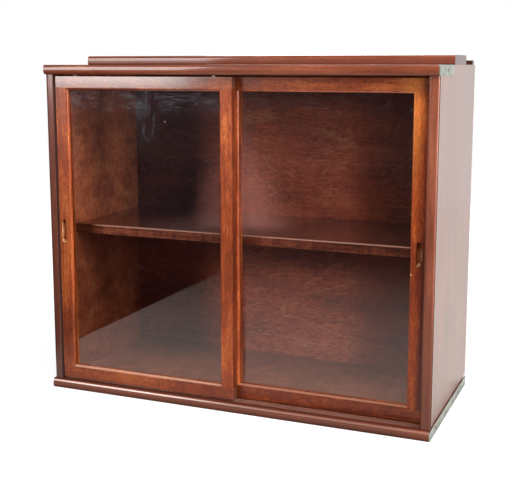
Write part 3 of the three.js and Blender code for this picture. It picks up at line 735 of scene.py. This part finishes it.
zincPlate = dict(
    bright=paint(168, 172, 162), dull=paint(128, 132, 124), tarnish=paint(82, 82, 74),
    spangle=140., spangleShare=.3, patches=26., stops=(.3, .62), stains=70., stainBelow=(.36, .07),
    stainShare=.6, scratches=700., bump=.15, bumpDistance=.0002,
    roughness=.5, roughSpread=.35, metallic=.6, metallicSpread=.1)
zincStrip = dict(zincPlate, bright=paint(198, 202, 192), dull=paint(166, 170, 161),
                 tarnish=paint(124, 124, 116))
# the strips' top faces are painted dark: painted shade in the seam under the side panel
stripDirt = dict(zincPlate, bright=paint(44, 36, 30), dull=paint(30, 24, 20), tarnish=paint(20, 16, 14),
                 roughness=.8, metallic=0.)
steelScrew = dict(zincPlate, bright=paint(116, 113, 105), dull=paint(82, 78, 72), tarnish=paint(48, 42, 37),
                  spangle=400., roughness=.42, metallic=.8)


def galvanised(name, look):
    material, flow, spot = newMaterial(name)
    spangle = spot.node("ShaderNodeTexVoronoi", {"Vector": spot, "Scale": look["spangle"]}, out=1).axes()[0]
    patches = spot.noise(look["patches"], 4., .6)
    tone = patches * (1 - look["spangleShare"]) + spangle * look["spangleShare"]
    colour = tone.ramp((look["stops"][0], look["dull"]), (look["stops"][1], look["bright"]))
    stains = spot.noise(look["stains"], 3., .65).below(*look["stainBelow"])
    colour = colour.mixed(stains * look["stainShare"], look["tarnish"])
    scratches = spot.squeezed((1, .06, 1)).noise(look["scratches"])
    return closeMaterial(material, flow.node("ShaderNodeBsdfPrincipled", {
        "Base Color": colour, "Metallic": look["metallic"] + patches * look["metallicSpread"],
        "Roughness": look["roughness"] + (patches - .5) * look["roughSpread"],
        "Normal": scratches.bump(look["bump"], look["bumpDistance"])}))


galvanisedZinc = galvanised("galvanisedZinc", zincPlate)
dullSteel = galvanised("dullSteel", steelScrew)
stripSkins = [galvanised("galvanisedStrip", zincStrip), galvanised("stripDirt", stripDirt)]
for side in ("left", "right"):
    finished(side + "_top_plate", "case", [galvanisedZinc], arris["crisp"])
    finished(side + "_bottom_strip", "case", stripSkins, arris["crisp"],
             lambda face: 1 if face.normal.z > turned["partly"] else 0)
for name in sorted(nodes):
    if name.startswith("shelf_pin_"):
        finished(name, "case", [dullSteel], arris["fine"])
print("back, runners and coupling metal are finished")


# screws and nails, made by geometry nodes
def newTree(name, inputs):
    tree = bpy.data.node_groups.new(name, "GeometryNodeTree")
    tree.interface.new_socket("Geometry", in_out="INPUT", socket_type="NodeSocketGeometry")
    for label, kind in inputs:
        tree.interface.new_socket(label, in_out="INPUT", socket_type="NodeSocket" + kind)
    tree.interface.new_socket("Geometry", in_out="OUTPUT", socket_type="NodeSocketGeometry")
    entry = tree.nodes.new("NodeGroupInput")
    return tree, Flow(tree), {o.name: Flow(tree, o) for o in entry.outputs if o.name}


def closeTree(flow, geometry, material):
    real = flow.node("GeometryNodeRealizeInstances", {"Geometry": geometry})
    dressed = flow.node("GeometryNodeSetMaterial", {"Geometry": real, "Material": material})
    out = flow.tree.nodes.new("NodeGroupOutput")
    flow.tree.links.new(dressed.socket, out.inputs[0])


def grown(name, mesh, tree, values, body, stands=()):
    # the tree's result as a plain mesh, riding on one body
    seed = linked(name + "Points", mesh)
    modifier = seed.modifiers.new("tree", "NODES")
    modifier.node_group = tree
    for item in tree.interface.items_tree:
        if item.in_out == "INPUT" and item.name in values:
            modifier[item.identifier] = values[item.name]
    made = evaluated(seed)
    made.name = name
    bpy.data.objects.remove(seed)
    work = bmesh.new()
    work.from_mesh(made)
    bmesh.ops.remove_doubles(work, verts=work.verts, dist=.000001)
    smoothed(work, easing["screwAngle"])
    work.to_mesh(made)
    work.free()
    obj = linked(name, made)
    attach(obj, body)
    if stands:
        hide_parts(*stands)


screwShape = dict(sides=24, segments=3, taper=.7, slotReach=3, mostSpin=3.14)


def screwTree():
    # slotted countersunk screws on points whose facing is 1 or -1 along X
    tree, flow, given = newTree("slottedScrews", [
        ("Head Radius", "Float"), ("Shank Radius", "Float"), ("Head Depth", "Float"), ("Length", "Float"),
        ("Slot Width", "Float"), ("Slot Depth", "Float"), ("Seed", "Int"), ("Material", "Material")])
    head, shank, depth, length = (given[k] for k in ("Head Radius", "Shank Radius", "Head Depth", "Length"))
    cone = flow.node("GeometryNodeMeshCone", {
        "Vertices": screwShape["sides"], "Radius Top": head, "Radius Bottom": shank, "Depth": depth})
    cone = flow.node("GeometryNodeTransform", {
        "Geometry": cone, "Translation": flow.vector({"Z": depth * -1})})
    body = flow.node("GeometryNodeMeshCone", {
        "Vertices": screwShape["sides"], "Side Segments": screwShape["segments"], "Radius Top": shank,
        "Radius Bottom": shank * screwShape["taper"], "Depth": length - depth})
    body = flow.node("GeometryNodeTransform", {
        "Geometry": body, "Translation": flow.vector({"Z": length * -1})})
    screw = flow.node("GeometryNodeMeshBoolean", {"Mesh 2": [cone, body]}, {"operation": "UNION"})
    slot = flow.node("GeometryNodeMeshCube", {"Size": flow.vector({
        "X": head * screwShape["slotReach"], "Y": given["Slot Width"], "Z": given["Slot Depth"] * 2})})
    screw = flow.node("GeometryNodeMeshBoolean", {"Mesh 1": screw, "Mesh 2": slot}, {
        "operation": "DIFFERENCE"})
    facing = flow.node("GeometryNodeInputNamedAttribute", {"Name": "facing"}, {"data_type": "FLOAT"})
    spin = flow.node("FunctionNodeRandomValue", {2: 0., 3: screwShape["mostSpin"], "Seed": given["Seed"]}, {
        "data_type": "FLOAT"}, 1)
    spun = flow.node("GeometryNodeInstanceOnPoints", {
        "Points": given["Geometry"], "Instance": screw, "Rotation": flow.vector({"Y": facing * (math.pi / 2)})})
    spun = flow.node("GeometryNodeRotateInstances", {
        "Instances": spun, "Rotation": flow.vector({"Z": spin}), "Local Space": True})
    closeTree(flow, spun, given["Material"])
    return tree


screws = {"Slot Width": .0012, "Slot Depth": .0011, "Head Depth": .0026, "Shank Radius": .002, "Seed": 4}


def couplingScrews(names):
    places, facings = [], []
    for name in names:
        low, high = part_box(name)
        facing = 1 if high.x > 0 else -1
        places.append((high.x if facing > 0 else low.x, (low.y + high.y) / 2, (low.z + high.z) / 2))
        facings.append(facing)
    mesh = bpy.data.meshes.new("screwPoints")
    mesh.from_pydata(places, [], [])
    mesh.attributes.new("facing", "FLOAT", "POINT").data.foreach_set("value", facings)
    values = dict(screws, Material=dullSteel)
    values["Head Radius"] = (high.z - low.z) / 2
    values["Length"] = high.x - low.x
    grown("couplingScrews", mesh, screwTree(), values, "case", names)


couplingScrews([name for name in sorted(nodes) if name.endswith("_screw")])


def nailTree():
    # low domed heads along a loop of edges, facing the back
    tree, flow, given = newTree("nailHeads", [
        ("Spacing", "Float"), ("Head Radius", "Float"), ("Head Height", "Float"), ("Unevenness", "Float"),
        ("Seed", "Int"), ("Material", "Material")])
    loop = flow.node("GeometryNodeMeshToCurve", {"Mesh": given["Geometry"]})
    row = flow.node("GeometryNodeResampleCurve", {"Curve": loop, "Length": given["Spacing"]}, {
        "mode": "LENGTH"})
    ball = flow.node("GeometryNodeMeshUVSphere", {"Segments": 12, "Rings": 6, "Radius": given["Head Radius"]})
    flat = flow.vector({"X": 1., "Y": given["Head Height"] / given["Head Radius"], "Z": 1.})
    heads = flow.node("GeometryNodeInstanceOnPoints", {"Points": row, "Instance": ball, "Scale": flat})
    spread = flow.vector({"X": given["Unevenness"], "Z": given["Unevenness"]})
    jitter = flow.node("FunctionNodeRandomValue", {0: (-1, 0, -1), 1: (1, 0, 1), "Seed": given["Seed"]}, {
        "data_type": "FLOAT_VECTOR"})
    jitter = flow.vectors("MULTIPLY", jitter, spread)
    heads = flow.node("GeometryNodeTranslateInstances", {"Instances": heads, "Translation": jitter})
    closeTree(flow, heads, given["Material"])
    return tree


nails = nailTree()
nailInset = .0045  # from the edge of the ply, or of the beads
backNails = {"Spacing": .105, "Head Radius": .0017, "Head Height": .0005, "Unevenness": .0012, "Seed": 11}
beadPins = {"Spacing": .118, "Head Radius": .0008, "Head Height": .0002, "Unevenness": .0005, "Seed": 23}


def nailed(name, low, high, settings, body):
    # a row of heads round the rear face between two corners
    mesh = bpy.data.meshes.new(name + "Loop")
    left, bottom, right, top = low.x + nailInset, low.z + nailInset, high.x - nailInset, high.z - nailInset
    corners = [(left, bottom), (right, bottom), (right, top), (left, top)]
    mesh.from_pydata([(x, high.y, z) for x, z in corners], [(0, 1), (1, 2), (2, 3), (3, 0)], [])
    grown(name, mesh, nails, dict(settings, Material=dullSteel), body)


nailed("backNails", *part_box("back_panel"), backNails, "case")
for door in ("left_door", "right_door"):
    nailed(door + "BeadPins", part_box(door + "_bottom_bead")[0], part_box(door + "_top_bead")[1], beadPins, door)
print("screws, nails and bead pins are in place")

# doors; pairs of numbers are an edge and how soft it is
# the right outer stile's stain is made lighter: painted light
litStileWood = dict(doorWood, dark=paint(146, 59, 23), middle=paint(196, 86, 34), light=paint(240, 128, 56),
                   cloudShare=.3, bandShare=.3)
glossyRail = dict(doorWood, coat=1., coatRoughness=.15, coatIndex=1.68, level=.4)
frameLooks = {"left_door_top_rail": glossyRail, "right_door_top_rail": glossyRail,
              "right_door_outer_stile": litStileWood}
partTones = {  # how far a part is darker at its low and high end and where that turns; the recess and flank darkening is painted shade, the lit ends are painted light and the pale edge a painted highlight
    "left_door_top_rail": dict(low=.45, high=.45),
    "left_door_bottom_rail": dict(low=.45, high=.45, paleEdge=.55),
    "left_door_outer_stile": dict(low=.26, high=.02, turn=(.19, .06), belt=(.48, .03), beltShare=.24),
    "left_door_meeting_stile": dict(low=.04, turn=(.3, .2), flank=.75),
    "right_door_top_rail": dict(recess=.6, sunned=(.372, .014)),
    "right_door_bottom_rail": dict(low=.6, high=.6, paleEdge=.3),
    "right_door_outer_stile": dict(low=.42, turn=(.42, .25), recess=.6, sunned=(.57, .11)),
    "right_door_meeting_stile": dict(flank=.5),
}
partWear = dict(
    age=(.17, .085, .045, 1), turn=(.4, .2), recess=(.011, .01), flank=(.0006, .0003),
    sun=(.42, .16, .03, 1), sunEnd=(.013, .011), pale=paint(238, 178, 148), paleEdge=(.0022, .0008))
pullWear = dict(
    grime=paint(88, 42, 26), grimeReach=(.014, .012), grimeScale=90., grimeFrom=(.42, .2),
    grimeShare=.15, squeeze=.4,
    bare=paint(228, 152, 102), bareReach=(.0125, .0005), depth=(.0006, .0003),
    chip=paint(240, 196, 146), chipSoft=.0006, chipShare=.85, ragged=(420., .0018))
bareShares = {"left_door": .55, "right_door": .2}
chips = {  # place across and up, radius and how many times longer than wide
    "left_door": [(-.419, .354, .0028, 1.), (-.4145, .353, .0026, 1.), (-.4216, .3782, .0005, 22.)],
    "right_door": [(.4107, .3558, .003, 1.), (.4178, .3782, .0004, 20.), (.3969, .3354, .002, 1.)],
}


def fingered(door, front, spot, colour):
    # grime round the finger pull; bare wood in it, made pale also as painted light against the shade of the
    # recess; and pale chips, which also paint the highlights on its rim and lower end
    opening = door.replace("door", "finger_pull")
    box = next(o["box_m"] for o in frame["record"]["physics"]["openings"] if o["name"] == opening)
    x, _, z = ((a + b) / 2 for a, b in zip(*box))
    squeeze = pullWear["squeeze"]
    near = spot.squeezed((1, 1, squeeze), (0, 0, z * (1 - squeeze)))
    rough = spot.noise(pullWear["grimeScale"], 3., .6).above(*pullWear["grimeFrom"])
    grime = near.within((x, front, z), *pullWear["grimeReach"]) * rough
    colour = colour.mixed(grime * pullWear["grimeShare"], pullWear["grime"])
    depth, soft = pullWear["depth"]
    # bare wood, lightened also as painted light where the recess is in shade
    inside = near.within((x, front, z), *pullWear["bareReach"]) * spot.axes()[1].above(front + depth, soft)
    colour = colour.mixed(inside * bareShares[door], pullWear["bare"])
    scale, reach = pullWear["ragged"]
    ragged = spot.shifted(spot.noise(scale, out=1), reach)
    # pale chips, which also stand as painted highlights on the pull's rim and lower end
    for atX, atZ, radius, long in chips[door]:
        near = ragged.squeezed((1, 0, 1 / long), (0, 0, atZ * (1 - 1 / long)))
        chip = near.within((atX, 0, atZ), radius, pullWear["chipSoft"])
        colour = colour.mixed(chip * pullWear["chipShare"], pullWear["chip"])
    return colour


def handled(door, part):
    # the darker ends of a part, painted shade at its recess and flank, painted light where the lamps fall on it,
    # a painted highlight on its upper arris, and the pull's wear
    low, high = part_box(f"{door}_{part}")
    tones = partTones[f"{door}_{part}"]
    start, end = tones.get("low", 0.), tones.get("high", 0.)

    def wear(spot, colour):
        x, _, z = spot.axes()
        age = z.above(*tones.get("turn", partWear["turn"])) * (end - start) + start
        if "belt" in tones:
            age = age + z.below(*tones["belt"]) * tones["beltShare"]
        # painted shade at the recess beside the lipping and on the flank beside the other door
        for edge in ("recess", "flank"):
            inset, soft = partWear[edge]
            age = age + x.above(high.x - inset, soft) * tones.get(edge, 0.)
        colour = colour.mixed(age, partWear["age"], "MULTIPLY")
        # painted light: colour is added where the lamps fall
        if "sunned" in tones:
            inset, soft = partWear["sunEnd"]
            lit = (z if part == "outer_stile" else x).above(*tones["sunned"]) * x.below(high.x - inset, soft)
            colour = colour.mixed(lit, partWear["sun"], "ADD")
        # a painted highlight on the upper arris
        if "paleEdge" in tones:
            inset, soft = partWear["paleEdge"]
            colour = colour.mixed(z.above(high.z - inset, soft) * tones["paleEdge"], partWear["pale"])
        return fingered(door, low.y, spot, colour) if part == "outer_stile" else colour
    return wear


for door, guideNylon in (("left_door", whiteNylon), ("right_door", greyNylon)):
    for part, grain in (("top_rail", "X"), ("bottom_rail", "X"), ("outer_stile", "Z"), ("meeting_stile", "Z")):
        name = f"{door}_{part}"
        stain = stainedWood(name + "Stain", frameLooks.get(name, doorWood), grain, handled(door, part))
        finished(name, door, [stain, endGrains["door"]], arris["worn"],
                 endSkin("XYZ".index(grain)))
    for part, grain in (("top_bead", "X"), ("bottom_bead", "X"), ("outer_bead", "Z"), ("meeting_bead", "Z")):
        name = f"{door}_{part}"
        finished(name, door, [stainedWood(name + "Stain", doorWood, grain)], arris["crisp"])
    for place in ("outer", "meeting"):
        finished(f"{door}_{place}_top_guide", door, [guideNylon], arris["square"])
        finished(f"{door}_{place}_bottom_glide", door, [brownNylon], arris["fine"])

pane = dict(
    tint=(.975, .985, .98, 1), mirror=(1, 1, 1, 1), gloss=.02, headOn=.042,
    film=paint(156, 164, 178), dust=.001, haze=.002, hazeFrom=(.5, .2), cloud=24., bend=(9., .014),
    levelSoft=.02, levelFrom=(.48, .12), dripFrom=(.44, .14),
    edgeInset=(.03, .014), edgeAbove=(.52, .12), edgeFrom=(.4, .2), veilAbove=(.415, .02),
    hazeSoft=.03, scratchFrom=(.5, .1), scratchShare=.05, ragged=(500., .003), speckSoft=.001, speckShare=.3,
    polish=paint(228, 154, 142), bloomAbove=(.41, .012), bloomBelow=(.56, .08), bloomLean=(.55, .3))
strokes = (  # mapping, noise and threshold of the level smears, of the hanging ones and of the scratches
    (((.16, 1, 1), (.3, 0, 1.1)), (300., 4., .65), (.55, .05)),
    (((1, 1, .08), (2.2, 0, .7)), (300., 4., .65), (.56, .05)),
    (((1, 1, .02), (.4, 0, .9), (0, .9, 0)), (330., 1., .5), (.77, .02)),
)
smears = {  # finger smears near the top rail, drips below them, specks, and a painted reflection beside the meeting stile
    "left_door": dict(
        level=.15, levelAt=.662, levelHaze=.007, drip=.13, dripAt=(-.2, .022, .02), dripAbove=(.6, .05),
        edge=.02, veil=.007, bloom=.065, bloomReach=(.018, .045),
        specks=[(-.1533, .634, .0022), (-.2026, .1597, .0016)]),
    "right_door": dict(
        level=.03, levelAt=.66, levelHaze=0., drip=.05, dripAt=(.026, .006, .02), dripAbove=(.34, .05),
        edge=.012, veil=0., bloom=.125, bloomReach=(.05, .06),
        specks=[(.3887, .668, .0014), (.382, .673, .001), (.392, .66, .001), (.365, .638, .0008)]),
}


def clearGlass(door, look, marks):
    # both faces mirror a little, a film of smears lies on the front, and a pink patch beside the meeting stile is
    # a painted reflection
    material, flow, spot = newMaterial(door + "Pane")
    low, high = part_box(door + "_glass")
    x, _, z = spot.axes()
    facing = flow.node("ShaderNodeLayerWeight", {"Blend": .5}, out=1)
    mirror = look["headOn"] + facing ** 5 * (1 - look["headOn"])
    clear = flow.node("ShaderNodeBsdfTransparent", {"Color": look["tint"]})
    shine = flow.node("ShaderNodeBsdfAnisotropic", {"Color": look["mirror"], "Roughness": look["gloss"]})
    glass = mirror.shader(clear, shine)
    scale, reach = look["bend"]
    bent = spot.shifted(spot.noise(scale, 3., out=1), reach)
    level, hanging, scratch = (bent.squeezed(*mapping).noise(*noise).above(*threshold)
                               for mapping, noise, threshold in strokes)
    cloud = spot.noise(look["cloud"], 4., .65)
    upper = z.above(marks["levelAt"], look["levelSoft"])
    film = level * upper * cloud.above(*look["levelFrom"]) * marks["level"]
    drip = hanging * x.near(*marks["dripAt"]) * z.above(*marks["dripAbove"])
    film = film + drip * cloud.above(*look["dripFrom"]) * marks["drip"]
    inset, soft = look["edgeInset"]
    edge = x.below(low.x + inset, soft) * z.above(*look["edgeAbove"]) * cloud.above(*look["edgeFrom"])
    film = film + edge * marks["edge"] + cloud.above(*look["hazeFrom"]) * look["haze"] + look["dust"]
    film = film + z.above(*look["veilAbove"]) * marks["veil"]
    film = film + z.above(marks["levelAt"], look["hazeSoft"]) * marks["levelHaze"]
    film = film + scratch * cloud.above(*look["scratchFrom"]) * look["scratchShare"]
    scale, reach = look["ragged"]
    ragged = spot.shifted(spot.noise(scale, out=1), reach)
    for atX, atZ, radius in marks["specks"]:
        film = film + ragged.within((atX, low.y, atZ), radius, look["speckSoft"]) * look["speckShare"]
    dust = flow.node("ShaderNodeBsdfDiffuse", {"Color": look["film"]})
    polish = flow.node("ShaderNodeBsdfDiffuse", {"Color": look["polish"]})
    # painted reflection: a pink patch beside the meeting stile
    middle, lean = look["bloomLean"]
    inward = (high.x - x if door == "left_door" else x - low.x) + (z - middle) * lean
    bloom = inward.below(*marks["bloomReach"]) * z.above(*look["bloomAbove"]) * z.below(*look["bloomBelow"])
    return closeMaterial(material, (bloom * marks["bloom"]).shader(film.shader(glass, dust), polish))


for door, marks in smears.items():
    glass = nodes[door + "_glass"]
    glass.data.materials.clear()
    glass.data.materials.append(clearGlass(door, pane, marks))
print("doors are finished")
